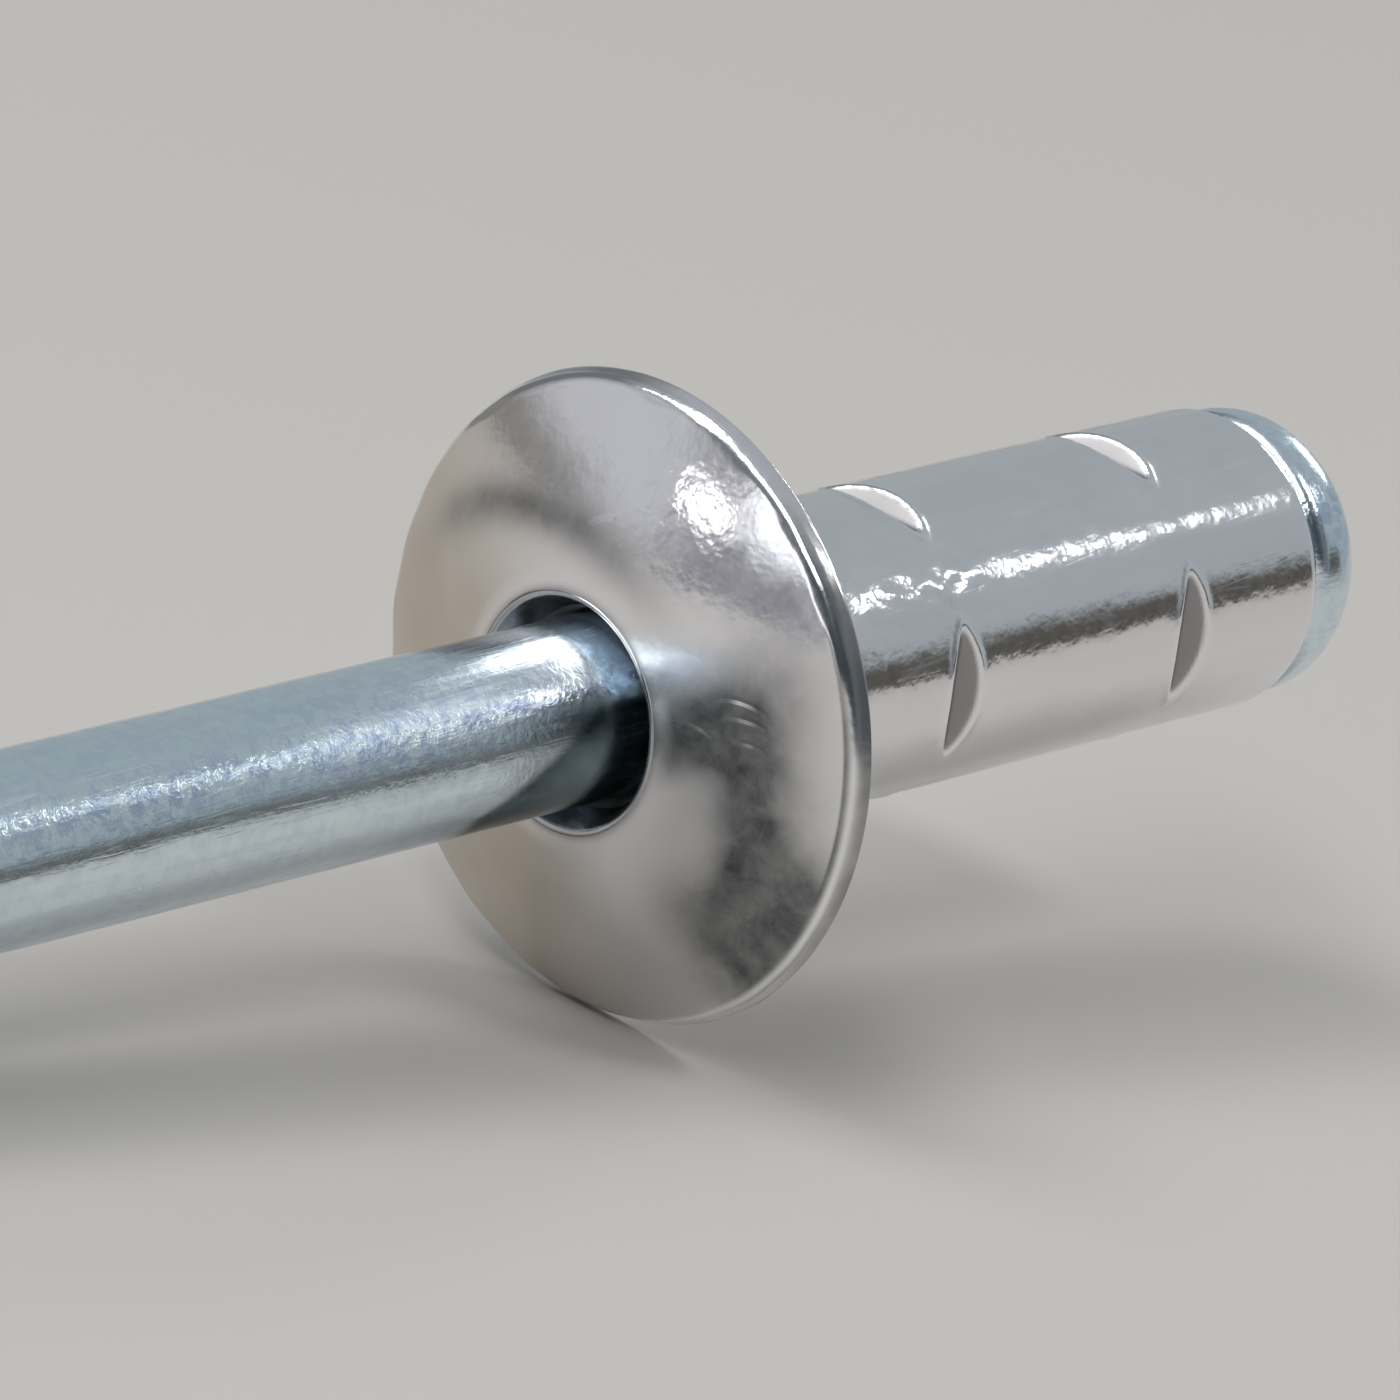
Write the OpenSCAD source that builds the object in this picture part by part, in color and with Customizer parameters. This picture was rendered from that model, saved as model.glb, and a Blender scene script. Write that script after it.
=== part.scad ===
// Blind rivet of the multi-grip kind, before it is set: an aluminium sleeve with a
// domed flange, on a steel mandrel whose own domed head closes the sleeve's far end.
// Each piece is turned about +Z, with z = 0 at the flange's underside and the blind
// end at +Z. The whole rivet is then laid down as it comes to rest on a flat surface,
// on the rim of its flange and the corner of the mandrel's point.

/* [Sleeve shank] */
// Outside diameter of the shank
shank_d = 4.8; // [3.8:0.1:6.4]
// Length of the shank, from the flange's underside to the rolled-in end
shank_l = 13; // [10.5:0.5:25]
// Radius of the rolled-in edge at the blind end, where the wall is thick enough for it
end_round = 0.3; // [0.15:0.05:0.75]
// Least width of the flat end face that the mandrel's head sits on
end_face = 0.2; // [0.1:0.05:0.4]

/* [Sleeve flange] */
// Diameter of the flange
flange_d = 10; // [8:0.1:14]
// Height of the rim's wall, up to the corner where the dome would meet it
rim_t = 0.24; // [0.18:0.01:0.6]
// Radius of the rim's upper edge, where the rim is high enough for it
rim_round = 0.35; // [0.08:0.01:0.5]
// Radius of the dome's curve
dome_r = 10; // [8:0.5:16]
// Step out from the bore to its mouth, all round
mouth_step = 0.32; // [0.15:0.01:0.45]
// Depth over which the mouth narrows down to the bore
mouth_l = 0.8; // [0.4:0.1:1.2]
// Radius of the mouth's edge
mouth_round = 0.08; // [0.04:0.01:0.15]

/* [Grip notches] */
// Number of rings of notches along the shank
notch_rings = 2; // [1:1:2]
// Distance from the flange's underside to the first ring
notch_first = 4.8; // [3:0.05:6]
// Distance from one ring to the next
notch_pitch = 5.15; // [2:0.05:6]
// Notches in a ring
notch_count = 4; // [3:1:4]
// Depth of a notch at its middle
notch_depth = 0.22; // [0.1:0.01:0.35]
// Width of a notch's flat root
notch_root = 0.1; // [0.05:0.01:0.3]
// Slope of a notch's two flanks
notch_flank = 45; // [30:1:60]
// Turn of the first notch away from the side that lies lowest
notch_turn = 0; // [0:5:85]

/* [Mandrel] */
// Diameter of the mandrel's wire
mandrel_d = 2.8; // [2.2:0.05:3]
// Gap all round between the wire and the sleeve's bore
bore_gap = 0.06; // [0.03:0.01:0.15]
// Length of the stem that stands out of the flange
stem_out = 28; // [20:1:40]
// Length of the pointed end of the stem
point_l = 1.3; // [0.8:0.1:1.8]
// Diameter of the flat at the very end of the point
point_d = 1.1; // [0.6:0.1:1.6]

/* [Mandrel head] */
// Step in from the shank to the head, all round, so that sheets slide over both
head_step = 0.1; // [0:0.02:0.3]
// Height of the head
head_h = 1.75; // [1.45:0.05:2.3]
// Radius of the head's domed top
crown_r = 3.6; // [3:0.1:6]
// Radius of the head's shoulder, where the domed top turns down into its wall
shoulder_r = 0.9; // [0.6:0.05:1.1]
// Radius of the head's lower edge, where the head is wide and high enough for it
head_round = 0.3; // [0.1:0.02:0.4]

/* [Break neck] */
// Distance from the head's seat to the middle of the neck
neck_back = 2.2; // [1.5:0.1:5]
// Diameter at the neck's waist
neck_d = 1.9; // [1.5:0.1:2.1]
// Length of the neck's straight waist
neck_waist = 0.2; // [0.1:0.05:0.5]

/* [Hidden] */
$fn = 96;
// Length by which a cutter runs past the surface that it opens
past = 1;
// Height by which a rounded edge crosses its dome, so that the two meet in a clean line
weld = 0.0002;
// Least height of the rim's wall and of the head's, and least width of the head's seat
rim_wall = 0.03;
head_wall = 0.05;
head_seat = 0.15;
// Turn of each piece's seam to the side that lies uppermost, away from the floor
seam_turn = 180;

shank_r = shank_d / 2;
flange_r = flange_d / 2;
mandrel_r = mandrel_d / 2;
bore_r = mandrel_r + bore_gap;
head_r = shank_r - head_step;
neck_r = neck_d / 2;
point_r = point_d / 2;
// Radius of the rolled-in edge, held back by the sleeve's wall
end_edge = min(end_round, shank_r - bore_r - end_face);

// Height of the dome's centre, from a sphere that meets the rim's corner
dome_z = -rim_t + sqrt(pow(dome_r, 2) - pow(flange_r, 2));
// Radius of the rim's edge, held back so that some of the wall stays below it
rim_edge = min(rim_round, (pow(dome_r, 2) - pow(flange_r, 2) - pow(dome_z + rim_wall, 2))
    / (2 * (dome_r - flange_r)));
// Centre of the rim's edge, which touches the wall and the dome from inside
rim_x = flange_r - rim_edge;
rim_z = dome_z - sqrt(pow(dome_r - rim_edge + weld, 2) - pow(rim_x, 2));
// The mouth: its radius on the dome, the slope of its wall, and where the bore begins
mouth_r = bore_r + mouth_step;
mouth_slope = atan2(mouth_step, mouth_l);
bore_z = dome_z - sqrt(pow(dome_r, 2) - pow(mouth_r, 2)) + mouth_l;
// Centre of the mouth's edge, which touches the wall and the dome from inside: from a
// place beside the start of the bore it moves up along the wall until it meets the dome
mouth_in = mouth_round - weld;
beside_x = bore_r + mouth_in * cos(mouth_slope);
beside_z = bore_z - dome_z + mouth_in * sin(mouth_slope);
beside_up = beside_x * sin(mouth_slope) - beside_z * cos(mouth_slope);
mouth_up = sqrt(pow(beside_up, 2) - pow(beside_x, 2) - pow(beside_z, 2)
    + pow(dome_r - mouth_round + weld, 2)) - beside_up;
mouth_x = beside_x + mouth_up * sin(mouth_slope);
mouth_z = dome_z + beside_z - mouth_up * cos(mouth_slope);
// Height of the flange, at the highest line of the mouth's edge
flange_top = mouth_z - mouth_round;

// Centre of the head's top, and of its shoulder, which touches the top from inside
crown_z = shank_l + head_h - crown_r;
shoulder_x = head_r - shoulder_r;
shoulder_z = crown_z + sqrt(pow(crown_r - shoulder_r + weld, 2) - pow(shoulder_x, 2));
// Radius of the head's lower edge, held back by the wall above it and the seat inside it
head_edge = min(head_round, head_r - bore_r - head_seat, shoulder_z - shank_l - head_wall);
edge_x = head_r - head_edge;
edge_z = shank_l + head_edge;

// Ends of the stem, and the length of the slopes down to the neck's waist
stem_end = flange_top - stem_out;
point_z = stem_end + point_l;
neck_z = shank_l - neck_back;
neck_slope = mandrel_r - neck_r;

// Rest pose: a straight line from the point's corner touches the rim's edge
rest_run = rim_z - point_z;
rest_rise = rim_x - mandrel_r;
rest_tilt = atan2(rest_rise, rest_run) + asin(rim_edge / norm([rest_run, rest_rise]));
rest_lift = rim_edge + rim_x * cos(rest_tilt) - rim_z * sin(rest_tilt);
// Ends of the laid rivet along X, whose middle becomes the origin
rest_tip = stem_end * cos(rest_tilt) - point_r * sin(rest_tilt);
rest_head = crown_z * cos(rest_tilt) + crown_r;
rest_shift = -(rest_tip + rest_head) / 2;

// Lays a piece that was turned about +Z down on its rim and its point
module laid_down() {
    translate([rest_shift, 0, rest_lift])
        rotate([0, 90 - rest_tilt, 0])
            children();
}

// Half section of the shank with its rolled-in end
module shank_section() {
    square([shank_r, shank_l - end_edge]);
    square([shank_r - end_edge, shank_l]);
    translate([shank_r - end_edge, shank_l - end_edge])
        circle(end_edge);
}

// Half section of the flange: a slice of the dome, the rim's edge and its wall
module flange_section() {
    reach = dome_r + past;
    rim_lean = atan2(rim_x, dome_z - rim_z);
    intersection() {
        translate([0, dome_z])
            circle(dome_r);
        polygon([[0, 0], [0, dome_z - reach],
            [reach * sin(rim_lean), dome_z - reach * cos(rim_lean)],
            [rim_x, rim_z], [rim_x, 0]]);
    }
    intersection() {
        translate([rim_x, rim_z])
            circle(rim_edge);
        translate([0, -reach])
            square([reach, reach]);
    }
    translate([0, rim_z])
        square([flange_r, -rim_z]);
}

// Half section of the bore, its widening mouth and the mouth's rounded edge
module bore_section() {
    reach = dome_r + past;
    mouth_lean = atan2(mouth_x, dome_z - mouth_z);
    translate([0, -reach])
        square([bore_r, shank_l + reach + past]);
    polygon([[0, bore_z], [0, -reach],
        [bore_r + (bore_z + reach) * tan(mouth_slope), -reach], [bore_r, bore_z]]);
    difference() {
        polygon([[mouth_x, mouth_z],
            [mouth_x - past * cos(mouth_slope), mouth_z - past * sin(mouth_slope)],
            [0, dome_z - reach],
            [reach * sin(mouth_lean), dome_z - reach * cos(mouth_lean)]]);
        translate([mouth_x, mouth_z])
            circle(mouth_round);
    }
}

// One notch: a straight blade with sloping flanks, pressed across the shank
module notch() {
    rise = notch_depth + past;
    spread = rise / tan(notch_flank);
    half_root = notch_root / 2;
    translate([shank_r - notch_depth, 0, 0])
        rotate([90, 0, 0])
            linear_extrude(height = shank_d, center = true)
                polygon([[0, -half_root], [rise, -half_root - spread],
                    [rise, half_root + spread], [0, half_root]]);
}

// The rings of notches that let one rivet grip sheets of many thicknesses
module notches() {
    for (ring = [0 : notch_rings - 1])
        for (turn = [0 : notch_count - 1])
            translate([0, 0, notch_first + ring * notch_pitch])
                rotate([0, 0, notch_turn + turn * 360 / notch_count])
                    notch();
}

// Aluminium sleeve, cold headed and drilled in one piece
module rivet_body() {
    color([0.80, 0.81, 0.83])
        laid_down()
            difference() {
                rotate([0, 0, seam_turn])
                    rotate_extrude() {
                        difference() {
                            union() {
                                shank_section();
                                flange_section();
                            }
                            bore_section();
                        }
                    }
                notches();
            }
}

// Half section of the wire: the point, the stem, the break neck and the root
module wire_section() {
    polygon([[0, stem_end], [point_r, stem_end], [mandrel_r, point_z],
        [mandrel_r, neck_z - neck_waist / 2 - neck_slope],
        [neck_r, neck_z - neck_waist / 2],
        [neck_r, neck_z + neck_waist / 2],
        [mandrel_r, neck_z + neck_waist / 2 + neck_slope],
        [mandrel_r, edge_z], [0, edge_z]]);
}

// Half section of the head: its seat, lower edge, short wall, shoulder and domed top
module head_section() {
    reach = crown_r + past;
    shoulder_lean = atan2(shoulder_z - crown_z, shoulder_x);
    translate([0, shank_l])
        square([edge_x, head_edge]);
    translate([edge_x, edge_z])
        circle(head_edge);
    translate([0, edge_z])
        square([head_r, shoulder_z - edge_z]);
    intersection() {
        translate([shoulder_x, shoulder_z])
            circle(shoulder_r);
        translate([0, shoulder_z])
            square([reach, reach]);
    }
    intersection() {
        translate([0, crown_z])
            circle(crown_r);
        polygon([[0, shoulder_z], [shoulder_x, shoulder_z],
            [reach * cos(shoulder_lean), crown_z + reach * sin(shoulder_lean)],
            [reach, crown_z + reach], [0, crown_z + reach]]);
    }
}

// Zinc-plated steel mandrel, headed from one length of drawn wire
module mandrel() {
    color([0.72, 0.75, 0.80])
        laid_down()
            rotate([0, 0, seam_turn])
                rotate_extrude() {
                    wire_section();
                    head_section();
                }
}

rivet_body();
mandrel();
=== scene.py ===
import math

import bpy
import numpy as np
from mathutils import Matrix, Vector


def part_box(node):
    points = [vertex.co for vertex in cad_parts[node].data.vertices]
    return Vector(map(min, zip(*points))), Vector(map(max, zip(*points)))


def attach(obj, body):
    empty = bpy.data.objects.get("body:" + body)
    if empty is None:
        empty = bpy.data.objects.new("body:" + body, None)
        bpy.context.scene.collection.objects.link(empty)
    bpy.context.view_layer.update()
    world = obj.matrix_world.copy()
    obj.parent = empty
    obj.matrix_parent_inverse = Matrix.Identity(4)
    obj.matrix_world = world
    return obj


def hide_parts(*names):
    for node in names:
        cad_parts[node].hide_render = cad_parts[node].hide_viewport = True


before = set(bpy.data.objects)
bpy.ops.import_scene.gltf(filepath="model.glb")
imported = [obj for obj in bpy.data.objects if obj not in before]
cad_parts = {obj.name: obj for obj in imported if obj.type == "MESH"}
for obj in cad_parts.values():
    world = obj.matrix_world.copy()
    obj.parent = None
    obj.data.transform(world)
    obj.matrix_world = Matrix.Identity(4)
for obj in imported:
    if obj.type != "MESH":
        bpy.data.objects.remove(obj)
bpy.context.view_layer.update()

# ---------------------------------------------------------------------------
# Sleeve. One aluminium blank, cold headed into a domed flange on a plain shank
# and drilled through. A four-bladed die nicks it with two rings of grip notches,
# and its far end is rolled in under the head of the mandrel.
# ---------------------------------------------------------------------------
MM = 0.001
SHANK_RADIUS = 2.40
SHANK_LENGTH = 13.0
END_ROUND = 0.30
FLANGE_RADIUS = 4.985
DOME_RADIUS = 10.0
DOME_CENTRE = 8.42025
RIM_CORNER = (4.87, -0.3138)
UNDER_ROUND = 0.03
ROOT_FILLET = 0.10
BORE_RADIUS = 1.46
BORE_START = -0.620
MOUTH_CENTRE = (1.8298, -1.3297)
MOUTH_ROUND = 0.08
MOUTH_SLOPE = 21.80

RIM_SOFT = 0.13
RIM_TURN = 0.38

NOTCH_HEIGHTS = (4.80, 9.95)
NOTCH_COUNT = 4
NOTCH_DEPTH = 0.235
NOTCH_ROOT = 0.10
NOTCH_SOFT = 0.012
LIP_HEIGHT = 0.034
LIP_WIDTH = 0.11
DIMPLE_DEPTH = 0.014
DIMPLE_WIDTH = 0.35
BLADE_REACH = 1.2
UNCUT = 9.0

SLEEVE_COLUMNS = 360

# The rivet lies on the round of its flange's rim and on the corner of the mandrel's point,
# and the mandrel's domed crown is its farthest reach
WIRE_RADIUS = 1.40
POINT_HEIGHT = -28.1097
CROWN_CENTRE = 11.15
CROWN_RADIUS = 3.60
REST_ROUND = 0.35
REST_RIM = (4.65, -0.0357)
run_down = REST_RIM[1] - POINT_HEIGHT
rise_up = REST_RIM[0] - WIRE_RADIUS
REST_TILT = math.atan2(rise_up, run_down) + math.asin(REST_ROUND / math.hypot(run_down, rise_up))
crown_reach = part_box("mandrel")[1].x / MM
rim_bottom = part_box("rivet_body")[0].z / MM
REST_SHIFT = crown_reach - CROWN_CENTRE * math.cos(REST_TILT) - CROWN_RADIUS
REST_LIFT = (rim_bottom + REST_ROUND + REST_RIM[0] * math.cos(REST_TILT)
             - REST_RIM[1] * math.sin(REST_TILT))
LIE_DOWN = (Matrix.Translation((REST_SHIFT * MM, 0.0, REST_LIFT * MM))
            @ Matrix.Rotation(math.pi / 2 - REST_TILT, 4, "Y"))


def straight(start, end, steps, crowd=None):
    """A straight stretch of a profile: (radius, height) points from start to end, evenly
    spaced, or spaced by the shares in crowd."""
    share = np.linspace(0.0, 1.0, steps + 1) if crowd is None else crowd
    return np.outer(1 - share, start) + np.outer(share, end)


def bend(centre, radius, first, last, steps):
    """A round of a profile: centre plus radius times (cos a, sin a), with the angle a in
    degrees running evenly from first to last."""
    a = np.radians(np.linspace(first, last, steps + 1))
    return np.column_stack([centre[0] + radius * np.cos(a), centre[1] + radius * np.sin(a)])


def eased(start, corner, end, steps):
    """A soft corner of a profile: the curve (1-t)^2 start + 2t(1-t) corner + t^2 end."""
    t = np.linspace(0.0, 1.0, steps + 1)
    return (np.outer((1 - t) ** 2, start) + np.outer(2 * t * (1 - t), corner)
            + np.outer(t ** 2, end))


def on_dome_at(radius):
    """The point of the flange's dome at a radius."""
    return (radius, DOME_CENTRE - math.sqrt(DOME_RADIUS ** 2 - radius ** 2))


def between(start, end, share):
    """The point at a share of the way from start to end."""
    return (start[0] + share * (end[0] - start[0]), start[1] + share * (end[1] - start[1]))


def joined(*stretches):
    """One profile from stretches laid end to end, each point that repeats the one before
    it left out."""
    line = np.vstack(stretches)
    step = np.hypot(*np.diff(line, axis=0).T)
    return line[np.concatenate([[True], step > 1e-5])]


def outward(line, looped):
    """The unit normal at each profile point, from the chord between its neighbours, turned
    to the side that faces out when the profile runs with the metal on its left."""
    if looped:
        chord = np.roll(line, -1, 0) - np.roll(line, 1, 0)
    else:
        chord = np.gradient(line, axis=0)
    chord = chord / np.hypot(chord[:, 0], chord[:, 1])[:, None]
    return np.column_stack([chord[:, 1], -chord[:, 0]])


def ripple(angle, height, waves, size, turns, seed):
    """A smooth random relief that closes on itself round the axis: the mean of waves
    cosines cos(m angle + k height + p), with whole m up to turns and k up to 1/size."""
    draw = np.random.default_rng(seed)
    whole = draw.integers(-turns, turns + 1, waves)
    pitch = draw.normal(0.0, 1.0 / size, waves)
    phase = draw.uniform(0.0, 2 * math.pi, waves)
    total = np.zeros(np.broadcast(angle, height).shape)
    for m, k, p in zip(whole, pitch, phase):
        total += np.cos(m * angle + k * height + p)
    return total / math.sqrt(waves / 2)


def away(angle, centre):
    """The angle from centre, taken the short way round, in radians."""
    return (angle - centre + math.pi) % (2 * math.pi) - math.pi


def band(value, centre, width, power=2):
    """A soft mask: 1 where value is at centre, falling off past width on either side, as
    exp(-((value - centre) / width) ^ power)."""
    return np.exp(-((value - centre) / width) ** power)


def sector(angle, centre, width, power=2):
    """A soft band round the axis about an angle centre, both given in degrees."""
    return band(away(angle, math.radians(centre)), 0.0, math.radians(width), power)


def turned_mesh(name, radius, height, angle, looped, marks):
    """A closed skin on a grid of points swept round the axis: x = r cos a, y = r sin a and
    z = height, laid down as the rivet rests. A looped profile joins its last row to its
    first, and any other is closed by a fan at each end. marks are masks, one value a point."""
    rows, columns = radius.shape
    x = radius * np.cos(angle)
    y = radius * np.sin(angle)
    points = np.stack([x, y, height], -1).reshape(-1, 3)
    i, j = np.meshgrid(np.arange(rows if looped else rows - 1), np.arange(columns), indexing="ij")
    ahead, beside = (i + 1) % rows, (j + 1) % columns
    quads = np.stack([i * columns + j, i * columns + beside,
                      ahead * columns + beside, ahead * columns + j], -1).reshape(-1, 4)
    loops, sizes = quads.ravel(), np.full(len(quads), 4)
    if not looped:
        ends = np.array([[0.0, 0.0, height[0].mean()], [0.0, 0.0, height[-1].mean()]])
        first, last = len(points), len(points) + 1
        points = np.vstack([points, ends])
        around = np.arange(columns)
        next_one = (around + 1) % columns
        top = (rows - 1) * columns
        fan_low = np.stack([np.full(columns, first), next_one, around], -1)
        fan_high = np.stack([np.full(columns, last), top + around, top + next_one], -1)
        loops = np.concatenate([loops, fan_low.ravel(), fan_high.ravel()])
        sizes = np.concatenate([sizes, np.full(2 * columns, 3)])
        marks = {mark: np.concatenate([values.ravel(), [values[0].mean(), values[-1].mean()]])
                 for mark, values in marks.items()}
    place = np.array(LIE_DOWN)
    laid = (points * MM) @ place[:3, :3].T + place[:3, 3]
    mesh = bpy.data.meshes.new(name)
    mesh.vertices.add(len(laid))
    mesh.vertices.foreach_set("co", laid.astype(np.float32).ravel())
    mesh.loops.add(len(loops))
    mesh.loops.foreach_set("vertex_index", loops.astype(np.int32))
    mesh.polygons.add(len(sizes))
    starts = np.concatenate([[0], np.cumsum(sizes)[:-1]])
    mesh.polygons.foreach_set("loop_start", starts.astype(np.int32))
    mesh.polygons.foreach_set("loop_total", sizes.astype(np.int32))
    mesh.polygons.foreach_set("use_smooth", np.ones(len(sizes), bool))
    mesh.update(calc_edges=True)
    mesh.validate()
    for mark, values in marks.items():
        layer = mesh.attributes.new(mark, "FLOAT", "POINT")
        layer.data.foreach_set("value", values.astype(np.float32).ravel())
    piece = bpy.data.objects.new(name, mesh)
    bpy.context.scene.collection.objects.link(piece)
    return piece


mouth_lean = math.degrees(math.atan2(MOUTH_CENTRE[0], DOME_CENTRE - MOUTH_CENTRE[1]))
mouth_edge = bend(MOUTH_CENTRE, MOUTH_ROUND, 180 + MOUTH_SLOPE, 270 + mouth_lean, 10)
rim_start = on_dome_at(RIM_CORNER[0] - RIM_SOFT)
rim_lean = math.degrees(math.asin(rim_start[0] / DOME_RADIUS))
rim_foot = (FLANGE_RADIUS, -UNDER_ROUND)
rim_end = between(RIM_CORNER, rim_foot, RIM_TURN)
end_centre = (SHANK_RADIUS - END_ROUND, SHANK_LENGTH - END_ROUND)
# The shank's rows lie closer over the scuffed half, and closest over the notches
SHANK_STEPS = 130
along = np.linspace(0.0, SHANK_LENGTH - END_ROUND - ROOT_FILLET, 2000)
crowding = 0.9 + 0.7 * (along < 6.3)
for notch_height in NOTCH_HEIGHTS:
    crowding = crowding + 5.0 * band(along + ROOT_FILLET, notch_height, 0.40, 4)
crowding = np.cumsum(crowding)
crowding = (crowding - crowding[0]) / (crowding[-1] - crowding[0])
shank_rows = np.interp(np.linspace(0, 1, SHANK_STEPS + 1), crowding, along / along[-1])
sleeve_line = joined(
    straight((BORE_RADIUS, SHANK_LENGTH), (BORE_RADIUS, BORE_START), 10),
    straight((BORE_RADIUS, BORE_START), mouth_edge[0], 6),
    mouth_edge,
    bend((0.0, DOME_CENTRE), DOME_RADIUS, -90 + mouth_lean, -90 + rim_lean, 62),
    eased(rim_start, RIM_CORNER, rim_end, 7),
    straight(rim_end, rim_foot, 6),
    bend((FLANGE_RADIUS - UNDER_ROUND, -UNDER_ROUND), UNDER_ROUND, 0, 90, 3),
    straight((FLANGE_RADIUS - UNDER_ROUND, 0.0), (SHANK_RADIUS + ROOT_FILLET, 0.0), 8),
    bend((SHANK_RADIUS + ROOT_FILLET, ROOT_FILLET), ROOT_FILLET, 270, 180, 5),
    straight((SHANK_RADIUS, ROOT_FILLET), (SHANK_RADIUS, end_centre[1]), SHANK_STEPS, shank_rows),
    bend(end_centre, END_ROUND, 0, 90, 14),
    straight((end_centre[0], SHANK_LENGTH), (BORE_RADIUS, SHANK_LENGTH), 3))[:-1]
sleeve_normal = outward(sleeve_line, True)
angle = np.linspace(0, 2 * math.pi, SLEEVE_COLUMNS, endpoint=False)[None, :]
radius = np.repeat(sleeve_line[:, :1], SLEEVE_COLUMNS, 1)
height = np.repeat(sleeve_line[:, 1:], SLEEVE_COLUMNS, 1)
angle = np.repeat(angle, len(sleeve_line), 0)

# Relief of the cold-headed skin: long waves on the shank and the dome, short ones round the
# rim, and knocks from the shank's tumbling along one side near the flange
on_shank = np.clip((height - 0.3) / 0.5, 0, 1) * (radius > SHANK_RADIUS - END_ROUND - 0.01)
on_dome = (height < -0.2) * np.clip((radius - MOUTH_CENTRE[0]) / 0.4, 0, 1)
on_rim = (height < -0.02) * (radius > RIM_CORNER[0] - 0.1)
scuffed = sector(angle, 229, 17) * band(height, 3.3, 2.4, 4) * on_shank
relief = 0.0030 * ripple(angle, height, 24, 1.6, 5, 11) * on_shank
relief += 0.0010 * ripple(angle, height, 40, 0.35, 22, 12) * on_shank
relief += 0.0040 * ripple(angle, radius, 20, 1.6, 3, 13) * on_dome
relief += 0.0048 * ripple(angle, height, 40, 0.25, 30, 14) * on_rim
relief += 0.0055 * ripple(angle, height, 60, 0.15, 40, 15) * scuffed

# Grip notches, each a straight blade pressed across the shank; the metal that it moves
# stands up in a lip, with a shallow dimple round it
cut = np.full(radius.shape, UNCUT)
for notch_height in NOTCH_HEIGHTS:
    for step in range(NOTCH_COUNT):
        turn = away(angle, step * 2 * math.pi / NOTCH_COUNT)
        flank = np.hypot(height - notch_height, NOTCH_ROOT) - NOTCH_ROOT
        floor_radius = SHANK_RADIUS - NOTCH_DEPTH + flank
        reach = floor_radius / np.maximum(np.cos(turn), 0.3)
        cut = np.minimum(cut, np.where(np.abs(turn) < BLADE_REACH, reach, UNCUT))
is_shank = (np.abs(radius - SHANK_RADIUS) < 0.001) & (height > 0.3)
cut = np.where(is_shank, cut, UNCUT)
near_notch = cut < UNCUT - 1
lip = band(cut, SHANK_RADIUS, LIP_WIDTH) * near_notch
dimple = np.exp(-np.maximum(cut - SHANK_RADIUS, 0) / DIMPLE_WIDTH) * near_notch
relief += LIP_HEIGHT * lip - DIMPLE_DEPTH * dimple

sleeve_radius = radius + relief * sleeve_normal[:, :1]
sleeve_height = height + relief * sleeve_normal[:, 1:]
softened = -NOTCH_SOFT * np.logaddexp(-sleeve_radius / NOTCH_SOFT, -cut / NOTCH_SOFT)
sleeve_radius = np.where(is_shank, softened, sleeve_radius)

# Marks on the flange's face are placed by how far a point lies across, to one side, and up
FACE_TURN = math.radians(240)
across = radius * np.cos(angle - FACE_TURN)
rise = radius * np.sin(FACE_TURN - angle)
# A painted dark reflection down the face, sharper on its inner side, and a painted grey reflection at its
# foot
off_dark_band = across - 0.38 * rise - 3.62
painted_dark_band = band(off_dark_band, 0.0, np.where(off_dark_band > 0, 0.90, 0.62)) * band(rise, -1.9, 1.95, 4)
painted_grey_reflection = band(across, 2.1, 1.5, 4) * band(rise, -4.0, 1.2, 4)
# A painted dark reflection in an arch over the mouth, part of a ring whose middle lies below and beside
# it
arch_across = across + 1.36
arch_rise = rise + 0.82
painted_arch_reflection = band(np.hypot(arch_across, arch_rise), 4.17, 0.36)
painted_arch_reflection *= band(np.arctan2(arch_rise, arch_across), math.radians(68), math.radians(36), 4)
# A painted reflection of the stem's dark side beside the mouth, painted shade in a thin line round the
# mouth's edge, and a painted dark reflection on the rim
painted_stem_reflection = band(across, 2.30, 0.92, 4) * band(rise, -0.70, 0.62, 4)
painted_mouth_shade = band(radius, 1.84, 0.09) * (height < -1.2)
painted_rim_reflection = sector(angle, 272, 36, 4) * on_rim
# All of these dark marks are painted reflection and painted shade on the face, mouth and rim
painted_dark_reflection_and_shade = (1.15 * painted_dark_band + painted_grey_reflection + painted_stem_reflection + 0.80 * painted_arch_reflection) * on_dome
painted_dark_reflection_and_shade = np.clip(painted_dark_reflection_and_shade + 0.6 * painted_mouth_shade + 0.8 * painted_rim_reflection, 0, 1)
# A painted tan reflection on the other half of the face
painted_tan_reflection = sector(angle, 62, 78, 4) * on_dome
# Coarser skin where the die peened it, edges rubbed bright, and painted shade on the metal in the notches
in_notch = np.clip((SHANK_RADIUS - sleeve_radius - 0.01) / 0.04, 0, 1) * is_shank
peened = band(across, 2.7, 1.2) * band(rise, 2.9, 1.4) * on_dome
grained = (0.30 + 0.52 * on_shank + 0.6 * scuffed + 0.8 * peened) * (1 - 0.8 * in_notch)
rim_rub = band(radius, RIM_CORNER[0], 0.05) * (height < -0.05)
end_rub = band(height, SHANK_LENGTH - 0.15, 0.10) * on_shank
worn = np.clip(rim_rub + 0.8 * end_rub + 0.7 * lip, 0, 1)
bored = radius < BORE_RADIUS + 0.05

sleeve = turned_mesh("sleeve", sleeve_radius, sleeve_height, angle, True,
                     {"worn": worn, "painted_dark_reflection_and_shade": painted_dark_reflection_and_shade, "painted_tan_reflection": painted_tan_reflection, "grained": grained,
                      "drawn": on_shank, "pressed": in_notch, "bored": bored})


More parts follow.
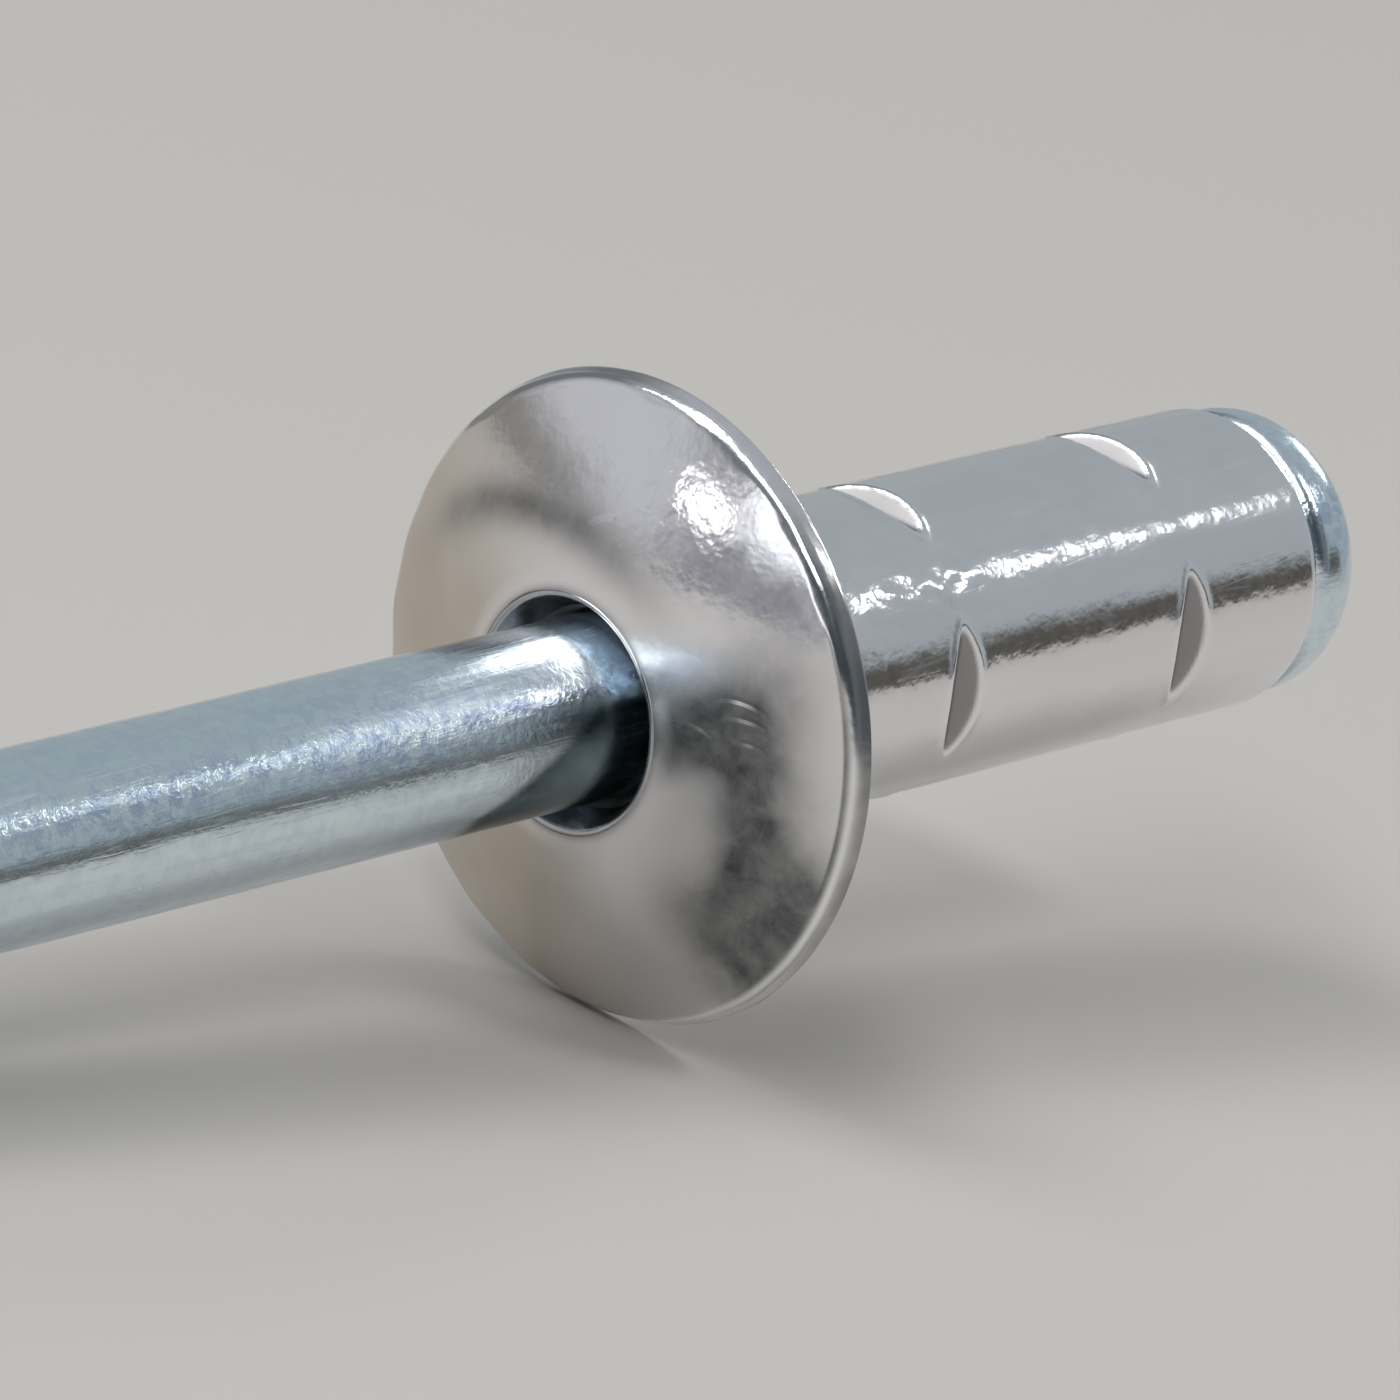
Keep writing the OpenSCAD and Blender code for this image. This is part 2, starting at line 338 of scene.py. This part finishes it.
def new_group(name, inputs):
    """A shader node group that puts out one mask; inputs are (name, kind, value)."""
    group = bpy.data.node_groups.new(name, "ShaderNodeTree")
    for label, kind, value in inputs:
        socket = group.interface.new_socket(label, in_out="INPUT", socket_type="NodeSocket" + kind)
        if value is not None:
            socket.default_value = value
    group.interface.new_socket("Mask", in_out="OUTPUT", socket_type="NodeSocketFloat")
    return group


def add(tree, kind, links=None, **settings):
    """A node of a tree with its settings, and its inputs given as sockets to link from or
    as plain values."""
    node = tree.nodes.new(kind)
    for key, value in settings.items():
        setattr(node, key, value)
    for key, value in (links or {}).items():
        socket = node.inputs[key]
        if isinstance(value, bpy.types.NodeSocket):
            tree.links.new(value, socket)
        else:
            socket.default_value = value
    return node


def stretch(tree, value, low, high, new_low=0.0, new_high=1.0):
    """value carried from the span low..high to new_low..new_high, and held there."""
    node = add(tree, "ShaderNodeMapRange", {"Value": value, "From Min": low, "From Max": high,
                                            "To Min": new_low, "To Max": new_high})
    return node.outputs["Result"]


def maths(tree, operation, *values):
    """One Math node on plain values or sockets."""
    return add(tree, "ShaderNodeMath", dict(enumerate(values)), operation=operation).outputs["Value"]


def blend(tree, share, first, second):
    """A colour between first and second, by share. The Mix node's inputs 6 and 7 and its
    output 2 are the ones for colours."""
    node = add(tree, "ShaderNodeMix", {0: share, 6: first, 7: second}, data_type="RGBA")
    return node.outputs[2]


def noise(tree, vector, scale, detail=2.0, rough=0.5, warp=0.0):
    """A noise between 0 and 1 about 0.5; scale is in cells per unit of the vector."""
    node = add(tree, "ShaderNodeTexNoise", {"Vector": vector, "Scale": scale, "Detail": detail,
                                            "Roughness": rough, "Distortion": warp})
    return node.outputs["Fac"]


def make_scratches():
    """Fine scratches: the thin level lines of a noise drawn out one way, so that they run
    nearly straight, kept only in patches. Lean turns the way they run."""
    group = new_group("fine scratches",
                      [("Vector", "Vector", None), ("Lean", "Vector", None), ("Scale", "Float", 2.0),
                       ("Thinness", "Float", 14.0), ("Cover", "Float", 0.5)])
    start = add(group, "NodeGroupInput")
    leaned = add(group, "ShaderNodeVectorRotate", {"Vector": start.outputs["Vector"],
                                                   "Rotation": start.outputs["Lean"]},
                 rotation_type="EULER_XYZ")
    drawn = add(group, "ShaderNodeVectorMath", {0: leaned.outputs[0], 1: (1.0, 1.0, 0.03)},
                operation="MULTIPLY")
    field = noise(group, drawn.outputs[0], start.outputs["Scale"], 0.0, 0.4)
    level = maths(group, "ABSOLUTE", maths(group, "SUBTRACT", field, 0.5))
    line = maths(group, "SUBTRACT", 1.0, maths(group, "MULTIPLY", level, start.outputs["Thinness"]))
    line = maths(group, "MAXIMUM", line, 0.0)
    patch = noise(group, start.outputs["Vector"], 1.1, 1.0, 0.5)
    bare = maths(group, "SUBTRACT", 1.0, start.outputs["Cover"])
    kept = stretch(group, maths(group, "SUBTRACT", patch, bare), 0.0, 0.10)
    add(group, "NodeGroupOutput", {"Mask": maths(group, "MULTIPLY", line, kept)})
    return group


def make_draw_lines():
    """Draw lines: a noise stretched out along the rivet, so that it runs in fine streaks.
    Streak is the share of its length that is left."""
    group = new_group("draw lines",
                      [("Vector", "Vector", None), ("Scale", "Float", 12.0), ("Streak", "Float", 0.04)])
    start = add(group, "NodeGroupInput")
    along_axis = add(group, "ShaderNodeCombineXYZ", {"X": 1.0, "Y": 1.0, "Z": start.outputs["Streak"]})
    drawn = add(group, "ShaderNodeVectorMath", {0: start.outputs["Vector"], 1: along_axis.outputs[0]},
                operation="MULTIPLY")
    lines = noise(group, drawn.outputs[0], start.outputs["Scale"], 3.0, 0.6)
    add(group, "NodeGroupOutput", {"Mask": stretch(group, lines, 0.3, 0.7)})
    return group


def make_gouge():
    """One short gouge on the dome: a thin arc through Place, turned by Turn about the axis,
    strong at its middle and fading to its ends. Bow bends it."""
    group = new_group("gouge",
                      [("Vector", "Vector", None), ("Place", "Vector", None), ("Turn", "Vector", None),
                       ("Length", "Float", 0.3), ("Width", "Float", 0.02), ("Bow", "Float", 0.3)])
    start = add(group, "NodeGroupInput")
    from_place = add(group, "ShaderNodeVectorMath", {0: start.outputs["Vector"],
                                                     1: start.outputs["Place"]}, operation="SUBTRACT")
    turned = add(group, "ShaderNodeVectorRotate", {"Vector": from_place.outputs[0],
                                                   "Rotation": start.outputs["Turn"]},
                 rotation_type="EULER_XYZ")
    split = add(group, "ShaderNodeSeparateXYZ", {"Vector": turned.outputs[0]})
    run = split.outputs["X"]
    bowed = maths(group, "MULTIPLY", maths(group, "MULTIPLY", run, run), start.outputs["Bow"])
    off = maths(group, "ABSOLUTE", maths(group, "SUBTRACT", split.outputs["Y"], bowed))
    thin = maths(group, "SUBTRACT", 1.0, maths(group, "DIVIDE", off, start.outputs["Width"]))
    share = maths(group, "DIVIDE", run, start.outputs["Length"])
    fade = maths(group, "SUBTRACT", 1.0, maths(group, "MULTIPLY", share, share))
    thin = maths(group, "MAXIMUM", thin, 0.0)
    fade = maths(group, "MAXIMUM", fade, 0.0)
    near_flange = maths(group, "LESS_THAN", split.outputs["Z"], 2.0)
    mask = maths(group, "MULTIPLY", maths(group, "MULTIPLY", thin, fade), near_flange)
    add(group, "NodeGroupOutput", {"Mask": mask})
    return group


def make_mottle():
    """Mottling: a noise pushed towards its two ends, with a finer noise on it."""
    group = new_group("mottle",
                      [("Vector", "Vector", None), ("Scale", "Float", 1.0), ("Contrast", "Float", 2.0)])
    start = add(group, "NodeGroupInput")
    broad = noise(group, start.outputs["Vector"], start.outputs["Scale"], 4.0, 0.6, 0.4)
    pushed = maths(group, "MULTIPLY", maths(group, "SUBTRACT", broad, 0.5), start.outputs["Contrast"])
    mask = stretch(group, maths(group, "ADD", pushed, 0.5), 0.0, 1.0)
    add(group, "NodeGroupOutput", {"Mask": mask})
    return group


SCRATCHES = make_scratches()
DRAW_LINES = make_draw_lines()
GOUGE = make_gouge()
MOTTLE = make_mottle()


def use(tree, group, **links):
    """The mask from a group placed in a tree, its inputs given by name."""
    return add(tree, "ShaderNodeGroup", links, node_tree=group).outputs["Mask"]


def rivet_axes(tree):
    """Object coordinates turned and moved into the rivet's own axes, in millimetres."""
    place = add(tree, "ShaderNodeTexCoord")
    node = add(tree, "ShaderNodeMapping",
               {"Vector": place.outputs["Object"], "Location": (REST_SHIFT * MM, 0.0, REST_LIFT * MM),
                "Rotation": (0.0, math.pi / 2 - REST_TILT, 0.0), "Scale": (MM, MM, MM)},
               vector_type="TEXTURE")
    return node.outputs["Vector"]


def mark(tree, name):
    """A per-point mask of the piece."""
    return add(tree, "ShaderNodeAttribute", attribute_name=name).outputs["Fac"]


def metal(name):
    """A new material with a metallic Principled BSDF and its output."""
    material = bpy.data.materials.new(name)
    material.use_nodes = True
    tree = material.node_tree
    tree.nodes.clear()
    shader = add(tree, "ShaderNodeBsdfPrincipled", {"Metallic": 1.0})
    add(tree, "ShaderNodeOutputMaterial", {"Surface": shader.outputs[0]})
    return material, tree, shader


def finish_metal(tree, shader, colour, rough, skin):
    """The metal's colour and roughness, and its skin as a bump, given in microns."""
    bump = add(tree, "ShaderNodeBump", {"Height": skin, "Strength": 1.0, "Distance": 0.001 * MM})
    tree.links.new(colour, shader.inputs["Base Color"])
    tree.links.new(rough, shader.inputs["Roughness"])
    tree.links.new(bump.outputs[0], shader.inputs["Normal"])


def weighted(tree, *pairs):
    """The sum of values, each times its weight, from (value, weight) pairs."""
    total = maths(tree, "MULTIPLY", *pairs[0])
    for value, weight in pairs[1:]:
        total = add(tree, "ShaderNodeMath", {0: value, 1: weight, 2: total},
                    operation="MULTIPLY_ADD").outputs["Value"]
    return total


# Knocks on the dome: radius and angle round the axis, slant to the radius, half length
KNOCKS = [(3.38, 248.0, 24.0, 0.42), (3.40, 252.5, 18.0, 0.34), (3.42, 258.5, 12.0, 0.26),
          (2.68, 255.0, 30.0, 0.22), (3.02, 179.0, 60.0, 0.30)]
KNOCK_WIDTH = 0.06
KNOCK_BOW = 0.5
KNOCK_DEPTH = 17.0
BRIGHT_ALUMINIUM = (0.92, 0.915, 0.93, 1)
CLOUDED_ALUMINIUM = (0.86, 0.85, 0.865, 1)
DRAWN_ALUMINIUM = (0.84, 0.82, 0.86, 1)
# Painted reflection: a warm tan that stands in for a reflection on one side of the flange's face
TAN_PAINTED_REFLECTION = (0.56, 0.49, 0.41, 1)
# Painted reflection and shade: a near black that stands in for dark reflections on the flange's face and
# shade round its mouth
PAINTED_SHADE_AND_REFLECTION = (0.10, 0.108, 0.11, 1)
RUBBED_ALUMINIUM = (0.95, 0.95, 0.96, 1)
# Painted shade: a dark grey for the metal in the notches
NOTCH_SHADE_ALUMINIUM = (0.38, 0.375, 0.38, 1)


def knock_mask(tree, axes):
    """All the knocks on the dome: the greatest of their masks."""
    knocks = None
    for spot_radius, spot_angle, slant, reach in KNOCKS:
        around = math.radians(spot_angle)
        knock = use(tree, GOUGE, Vector=axes, Length=reach, Width=KNOCK_WIDTH, Bow=KNOCK_BOW,
                    Place=(spot_radius * math.cos(around), spot_radius * math.sin(around), 0.0),
                    Turn=(0.0, 0.0, -around - math.radians(slant)))
        knocks = knock if knocks is None else maths(tree, "MAXIMUM", knocks, knock)
    return knocks


def sleeve_aluminium():
    """Tumbled aluminium: bright, cloudy on a broad scale, streaked along the shank by the
    die and polished along its edges. The flange's face has a painted tan reflection on one
    side and painted dark reflections and painted shade on the other, and the notches are
    painted a darker grey as shade."""
    material, tree, shader = metal("tumbled aluminium")
    axes = rivet_axes(tree)
    worn_edge = mark(tree, "worn")
    notch_shade = mark(tree, "pressed")
    drawn_metal = mark(tree, "drawn")
    broad = use(tree, MOTTLE, Vector=axes, Scale=0.5, Contrast=1.8)
    cloud = use(tree, MOTTLE, Vector=axes, Scale=1.7, Contrast=2.2)
    fine = use(tree, MOTTLE, Vector=axes, Scale=6.0, Contrast=2.4)
    lines = use(tree, DRAW_LINES, Vector=axes, Scale=2.6, Streak=0.07)
    lines = maths(tree, "MULTIPLY", lines, drawn_metal)
    scratch = use(tree, SCRATCHES, Vector=axes, Lean=(0.10, 0.06, 0.0), Scale=5.0,
                  Thinness=22.0, Cover=0.52)
    scratch = maths(tree, "MULTIPLY", scratch, drawn_metal)
    patchy = stretch(tree, cloud, 0.0, 1.0, 0.70, 1.0)
    # Painted dark reflection and shade, made patchy
    painted_dark = maths(tree, "MULTIPLY", mark(tree, "painted_dark_reflection_and_shade"), patchy)
    # Painted tan reflection on one side of the flange's face
    tan_reflection = maths(tree, "MULTIPLY", mark(tree, "painted_tan_reflection"), stretch(tree, broad, 0.0, 1.0, 0.8, 1.0))

    colour = blend(tree, broad, BRIGHT_ALUMINIUM, CLOUDED_ALUMINIUM)
    colour = blend(tree, stretch(tree, lines, 0.35, 1.0, 0.0, 0.5), colour, DRAWN_ALUMINIUM)
    colour = blend(tree, tan_reflection, colour, TAN_PAINTED_REFLECTION)
    colour = blend(tree, painted_dark, colour, PAINTED_SHADE_AND_REFLECTION)
    colour = blend(tree, worn_edge, colour, RUBBED_ALUMINIUM)
    # Painted shade in the notches
    colour = blend(tree, notch_shade, colour, NOTCH_SHADE_ALUMINIUM)

    rough = weighted(tree, (cloud, 0.05), (fine, 0.05), (scratch, 0.06), (painted_dark, 0.12),
                     (notch_shade, 0.40), (mark(tree, "bored"), 0.30))
    rough = stretch(tree, rough, 0.0, 0.4, 0.10, 0.50)
    rough = maths(tree, "MULTIPLY", rough, stretch(tree, worn_edge, 0.0, 1.0, 1.0, 0.7))

    grain = noise(tree, axes, 3.4, 2.0, 0.5)
    pits = noise(tree, axes, 8.0, 2.0, 0.55)
    skin = maths(tree, "MULTIPLY", weighted(tree, (grain, 11.0), (pits, 3.0)), mark(tree, "grained"))
    skin = weighted(tree, (skin, 1.0), (lines, 0.7), (scratch, -0.5),
                    (knock_mask(tree, axes), -KNOCK_DEPTH))
    finish_metal(tree, shader, colour, rough, skin)
    return material


sleeve.data.materials.append(sleeve_aluminium())
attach(sleeve, "root")
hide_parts("rivet_body")

# ---------------------------------------------------------------------------
# Mandrel. A length of drawn steel wire with one end upset into a domed head, a
# break neck rolled into it and the other end pinched to a point, then bright
# zinc plated. It is pushed through the sleeve until its head meets the end.
# ---------------------------------------------------------------------------
POINT_FLAT = 0.55
POINT_ROUND = 0.06
STEM_END = -29.4097
STEM_INSIDE = -1.0
NECK_HEIGHT = 10.8
NECK_RADIUS = 0.95
NECK_WAIST = 0.10
HEAD_RADIUS = 2.30
HEAD_EDGE = (2.00, 13.30)
HEAD_ROUND = 0.30
SHOULDER_CENTRE = (1.40, 13.4589)
SHOULDER_ROUND = 0.90
MANDREL_COLUMNS = 300

neck_slope = WIRE_RADIUS - NECK_RADIUS
shoulder_lean = math.degrees(math.atan2(SHOULDER_CENTRE[1] - CROWN_CENTRE, SHOULDER_CENTRE[0]))
point_slope = math.degrees(math.atan2(WIRE_RADIUS - POINT_FLAT, POINT_HEIGHT - STEM_END))
tip_centre = (POINT_FLAT - POINT_ROUND, STEM_END + POINT_ROUND)
mandrel_line = joined(
    straight((0.02, STEM_END), (tip_centre[0], STEM_END), 5),
    bend(tip_centre, POINT_ROUND, -90, -point_slope, 4),
    straight((POINT_FLAT + 0.02, tip_centre[1]), (WIRE_RADIUS - 0.03, POINT_HEIGHT - 0.05), 12),
    straight((WIRE_RADIUS, POINT_HEIGHT + 0.03), (WIRE_RADIUS, STEM_INSIDE), 225),
    straight((WIRE_RADIUS, STEM_INSIDE), (WIRE_RADIUS, NECK_HEIGHT - NECK_WAIST - neck_slope), 10),
    straight((NECK_RADIUS, NECK_HEIGHT - NECK_WAIST), (NECK_RADIUS, NECK_HEIGHT + NECK_WAIST), 2),
    straight((WIRE_RADIUS, NECK_HEIGHT + NECK_WAIST + neck_slope), (WIRE_RADIUS, SHANK_LENGTH), 3),
    straight((WIRE_RADIUS, SHANK_LENGTH), (HEAD_EDGE[0], SHANK_LENGTH), 3),
    bend(HEAD_EDGE, HEAD_ROUND, -90, 0, 12),
    straight((HEAD_RADIUS, HEAD_EDGE[1]), (HEAD_RADIUS, SHOULDER_CENTRE[1]), 3),
    bend(SHOULDER_CENTRE, SHOULDER_ROUND, 0, shoulder_lean, 20),
    bend((0.0, CROWN_CENTRE), CROWN_RADIUS, shoulder_lean, 89.6, 16))
mandrel_normal = outward(mandrel_line, False)
wire_angle = np.linspace(0, 2 * math.pi, MANDREL_COLUMNS, endpoint=False)[None, :]
wire_angle = np.repeat(wire_angle, len(mandrel_line), 0)
wire_radius = np.repeat(mandrel_line[:, :1], MANDREL_COLUMNS, 1)
wire_height = np.repeat(mandrel_line[:, 1:], MANDREL_COLUMNS, 1)

# Relief of the drawn wire: long and short waves, and a skin drawn a hair under its size
on_stem = ((wire_radius > WIRE_RADIUS - 0.01) & (wire_height < -1.2)).astype(float)
on_head = (wire_height > 13.1) * np.clip(wire_radius / 0.3, 0, 1)
wire_relief = 0.0022 * ripple(wire_angle, wire_height, 30, 1.3, 4, 21) * on_stem
wire_relief += 0.0011 * ripple(wire_angle, wire_height, 40, 0.5, 12, 22) * on_stem
wire_relief += 0.0020 * ripple(wire_angle, wire_radius, 24, 0.5, 4, 23) * on_head
wire_relief -= 0.004 * on_stem
# A lengthways stripe of coarser crystals in the plating, patchy along the wire, with one
# stretch of it dim
STRIPE_TURN = 230
dim = band(wire_height, -5.6, 2.3, 4) * band(away(wire_angle, math.radians(STRIPE_TURN)), 0.0, 0.5)
flecked = sector(wire_angle, STRIPE_TURN, 15)
flecked *= np.clip(0.65 + 0.25 * ripple(wire_angle, wire_height, 12, 1.5, 2, 24), 0.2, 1.0)
flecked = np.clip(flecked + 0.5 * dim, 0, 1)
# A painted dark reflection on the lower side, in a wedge that widens towards the sleeve's mouth
WEDGE_EDGE_TURN = math.radians(238)
below_edge = away(wire_angle, WEDGE_EDGE_TURN)
share_below = np.clip(np.degrees(below_edge) / 62, 0, 1)
wedge_start = -2.0 - 2.4 * share_below
painted_dark_wedge = np.clip((wire_height - wedge_start) / 0.30, 0, 1) * np.clip(share_below / 0.12, 0, 1)
painted_dark_wedge *= np.clip(below_edge / 0.05, 0, 1) * (wire_height < -0.5)
mandrel = turned_mesh("mandrel_wire", wire_radius + wire_relief * mandrel_normal[:, :1],
                      wire_height + wire_relief * mandrel_normal[:, 1:], wire_angle, False,
                      {"flecked": 0.2 + 0.8 * flecked, "dim": dim, "painted_dark_wedge": painted_dark_wedge})


PALE_ZINC = (0.74, 0.86, 0.93, 1)
CLOUDED_ZINC = (0.80, 0.90, 0.95, 1)
VIOLET_ZINC = (0.42, 0.50, 0.70, 1)
STREAKED_ZINC = (0.62, 0.71, 0.79, 1)
# Painted reflection: a dark teal that stands in for a dark reflection on the wire's lower side
PAINTED_DARK_REFLECTION_ZINC = (0.085, 0.135, 0.155, 1)


def mandrel_zinc():
    """Bright zinc on steel wire: cool and blue-white, streaked along the wire, flecked with
    violet where the film is thin, and darkened on its lower side beside the sleeve's mouth
    by a painted dark reflection."""
    material, tree, shader = metal("bright zinc plate")
    axes = rivet_axes(tree)
    crystals = mark(tree, "flecked")
    streaks = use(tree, DRAW_LINES, Vector=axes, Scale=5.0, Streak=0.04)
    fine = use(tree, DRAW_LINES, Vector=axes, Scale=16.0, Streak=0.08)
    fleck = use(tree, MOTTLE, Vector=axes, Scale=4.0, Contrast=4.0)
    broad = use(tree, MOTTLE, Vector=axes, Scale=0.6, Contrast=2.0)
    scratch = use(tree, SCRATCHES, Vector=axes, Lean=(0.05, 0.04, 0.0), Scale=6.0,
                  Thinness=20.0, Cover=0.55)
    violet = maths(tree, "MULTIPLY", stretch(tree, fleck, 0.3, 0.8, 0.0, 0.8), crystals)
    # Painted dark reflection on the wire's lower side beside the mouth
    painted_wedge = maths(tree, "MULTIPLY", mark(tree, "painted_dark_wedge"), stretch(tree, broad, 0.0, 1.0, 0.75, 1.0))

    colour = blend(tree, broad, PALE_ZINC, CLOUDED_ZINC)
    colour = blend(tree, violet, colour, VIOLET_ZINC)
    colour = blend(tree, stretch(tree, streaks, 0.4, 1.0, 0.0, 0.4), colour, STREAKED_ZINC)
    colour = blend(tree, painted_wedge, colour, PAINTED_DARK_REFLECTION_ZINC)

    rough = weighted(tree, (streaks, 0.10), (fleck, 0.05), (scratch, 0.08), (mark(tree, "dim"), 0.13))
    rough = stretch(tree, rough, 0.0, 0.5, 0.12, 0.62)

    swell = noise(tree, axes, 2.5, 1.0, 0.5)
    grains = noise(tree, axes, 8.0, 3.0, 0.6)
    sparkle = maths(tree, "MULTIPLY", grains, crystals)
    skin = weighted(tree, (fine, 0.8), (streaks, 1.2), (sparkle, 16.0), (swell, 4.0), (scratch, -1.0))
    finish_metal(tree, shader, colour, rough, skin)
    return material


mandrel.data.materials.append(mandrel_zinc())
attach(mandrel, "root")
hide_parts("mandrel")

# ---------------------------------------------------------------------------
# Floor. A plain pale matt sheet that the rivet lies loose on, wide enough to reach
# out of view on every side.
# ---------------------------------------------------------------------------
FLOOR_REACH = 1.5
FLOOR_COLOUR = (0.47, 0.455, 0.435, 1)
floor_mesh = bpy.data.meshes.new("floor")
corners = [(-FLOOR_REACH, -FLOOR_REACH, 0.0), (FLOOR_REACH, -FLOOR_REACH, 0.0),
           (FLOOR_REACH, FLOOR_REACH, 0.0), (-FLOOR_REACH, FLOOR_REACH, 0.0)]
floor_mesh.from_pydata(corners, [], [(0, 1, 2, 3)])
floor = bpy.data.objects.new("floor", floor_mesh)
bpy.context.scene.collection.objects.link(floor)
floor_material = bpy.data.materials.new("pale matt sheet")
floor_material.use_nodes = True
floor_shader = floor_material.node_tree.nodes["Principled BSDF"]
floor_shader.inputs["Base Color"].default_value = FLOOR_COLOUR
floor_shader.inputs["Roughness"].default_value = 0.8
floor_shader.inputs["Specular IOR Level"].default_value = 0.1
floor_mesh.materials.append(floor_material)

# ---------------------------------------------------------------------------
# Camera and light. A long lens looks from the flange's side. Soft strip lamps stand high on
# either side, thin ones low beyond the stem and one low beyond the blind end, in a plain
# room that is pale above and dark behind the camera.
# ---------------------------------------------------------------------------
axis = Vector((math.cos(REST_TILT), 0.0, math.sin(REST_TILT)))
lift = Vector((-math.sin(REST_TILT), 0.0, math.cos(REST_TILT)))
SIDE_TURN = math.radians(30)
side = math.sin(SIDE_TURN) * lift - Vector((0, math.cos(SIDE_TURN), 0))
upper = math.cos(SIDE_TURN) * lift + Vector((0, math.sin(SIDE_TURN), 0))
seat = Vector((REST_SHIFT * MM, 0.0, REST_LIFT * MM))


def from_seat(along_axis, to_side, to_upper):
    """A point given along the rivet's axis, to the camera's side and upwards across it."""
    return seat + MM * (along_axis * axis + to_side * side + to_upper * upper)


CAMERA_LENS = 230.1
CAMERA_ROLL = math.radians(13.108)
camera_data = bpy.data.cameras.new("camera")
camera = bpy.data.objects.new("camera", camera_data)
bpy.context.scene.collection.objects.link(camera)
bpy.context.scene.camera = camera
camera_data.sensor_width = 36.0
camera_data.lens = CAMERA_LENS
camera_data.clip_start = 0.01
camera_data.clip_end = 10.0
camera_place = from_seat(-91.333, 97.291, 0.0)
aim = from_seat(0.719, 0.686, -0.294)
look = (aim - camera_place).normalized()
turn_to = look.to_track_quat("-Z", "Y").to_matrix().to_4x4() @ Matrix.Rotation(CAMERA_ROLL, 4, "Z")
camera.matrix_world = Matrix.Translation(camera_place) @ turn_to


def lamp(name, first, last, distance, width, radiance, colour):
    """A soft strip lamp that faces the seat and reaches from one direction to another as the
    seat sees them. Its power is pi times its radiance times its area."""
    first = Vector(first).normalized() * distance
    last = Vector(last).normalized() * distance
    middle = (first + last) / 2
    facing = middle.normalized()
    length = (last - first).length
    run = (last - first).normalized()
    run = (run - facing * run.dot(facing)).normalized()
    data = bpy.data.lights.new(name, "AREA")
    data.shape = "RECTANGLE"
    data.size = length
    data.size_y = width
    data.energy = math.pi * radiance * length * width
    data.color = colour
    strip = bpy.data.objects.new(name, data)
    bpy.context.scene.collection.objects.link(strip)
    strip_turn = Matrix((run, facing.cross(run), facing)).transposed().to_4x4()
    strip.matrix_world = Matrix.Translation(seat + middle) @ strip_turn
    strip.visible_camera = False


# High beside the camera, low beyond the blind end, high over the far side, and high between
# the first and the third
lamp("key lamp", (0.03, -0.56, 0.83), (0.27, -0.54, 0.80), 0.50, 0.12, 14.0, (1.0, 0.985, 0.965))
lamp("front lamp", (0.86, 0.30, 0.43), (0.89, 0.10, 0.43), 0.50, 0.10, 12.0, (1.0, 0.985, 0.965))
lamp("overhead lamp", (-0.16, 0.52, 0.83), (-0.52, 0.22, 0.83), 0.50, 0.24, 5.5, (1.0, 0.985, 0.975))
lamp("upper lamp", (-0.50, 0.10, 0.86), (-0.66, -0.50, 0.56), 0.50, 0.11, 6.0, (1.0, 0.99, 0.975))
# A thin one ahead, on the camera's side, whose streak runs along the shank and the stem
lamp("streak lamp", (0.626, -0.370, 0.686), (0.586, -0.420, 0.693), 0.60, 0.020, 13.0, (0.97, 0.985, 1.0))
# Two thin ones beyond the stem, for the dome's highlight and the flange's bright rim
lamp("left lamp", (-0.89, 0.41, 0.215), (-0.955, 0.254, 0.180), 0.50, 0.03, 3.5, (1.0, 0.99, 0.97))
lamp("rim lamp", (-0.965, -0.262, 0.028), (-0.938, 0.077, 0.338), 0.50, 0.025, 2.5, (1.0, 0.99, 0.97))

world = bpy.data.worlds.new("room")
bpy.context.scene.world = world
world.use_nodes = True
world_tree = world.node_tree
world_tree.nodes.clear()
heading = add(world_tree, "ShaderNodeTexCoord").outputs["Generated"]


def towards(direction, low, high):
    """How far the view of the room lies towards a direction, from 0 at low to 1 at high."""
    dot = add(world_tree, "ShaderNodeVectorMath", {0: heading, 1: Vector(direction).normalized()},
              operation="DOT_PRODUCT")
    return stretch(world_tree, dot.outputs["Value"], low, high)


# Parts of the room, each laid over the ones before: the way to its middle, the cosines at
# which it starts and is full, and its colour
ROOM_PARTS = [
    ((0.0, 0.15, 0.99), 0.70, 0.90, (0.36, 0.38, 0.41, 1)),        # the pale ceiling
    ((0.992, 0.0, 0.128), 0.40, 0.62, (0.36, 0.40, 0.42, 1)),      # beyond the blind end
    ((-0.62, 0.76, 0.17), 0.80, 0.96, (0.53, 0.54, 0.57, 1)),      # a pale wall on the far side
    ((-0.70, -0.70, 0.10), 0.66, 0.90, (0.035, 0.05, 0.06, 1)),    # the dark behind the camera
    ((-0.97, 0.10, 0.12), 0.93, 0.98, (0.22, 0.22, 0.26, 1)),      # grey beyond the stem
    ((-0.955, 0.08, 0.29), 0.984, 0.996, (1.50, 1.54, 1.60, 1)),   # a bright opening over it
    ((0.69, -0.72, 0.00), 0.958, 0.988, (0.075, 0.07, 0.06, 1))]   # a dark strip past the shank
SKIRTING_COLOUR = (0.24, 0.24, 0.23, 1)
room = (0.15, 0.16, 0.17, 1)
for direction, low, high, colour in ROOM_PARTS:
    room = blend(world_tree, towards(direction, low, high), room, colour)
skirting = maths(world_tree, "MULTIPLY", towards((0.0, 0.0, -1.0), -0.13, -0.05),
                 towards((-0.28, 0.96, 0.03), 0.80, 0.93))
room = blend(world_tree, skirting, room, SKIRTING_COLOUR)
background = add(world_tree, "ShaderNodeBackground", {"Color": room, "Strength": 1.0})
add(world_tree, "ShaderNodeOutputWorld", {"Surface": background.outputs[0]})

bpy.context.scene.view_settings.view_transform = "Standard"
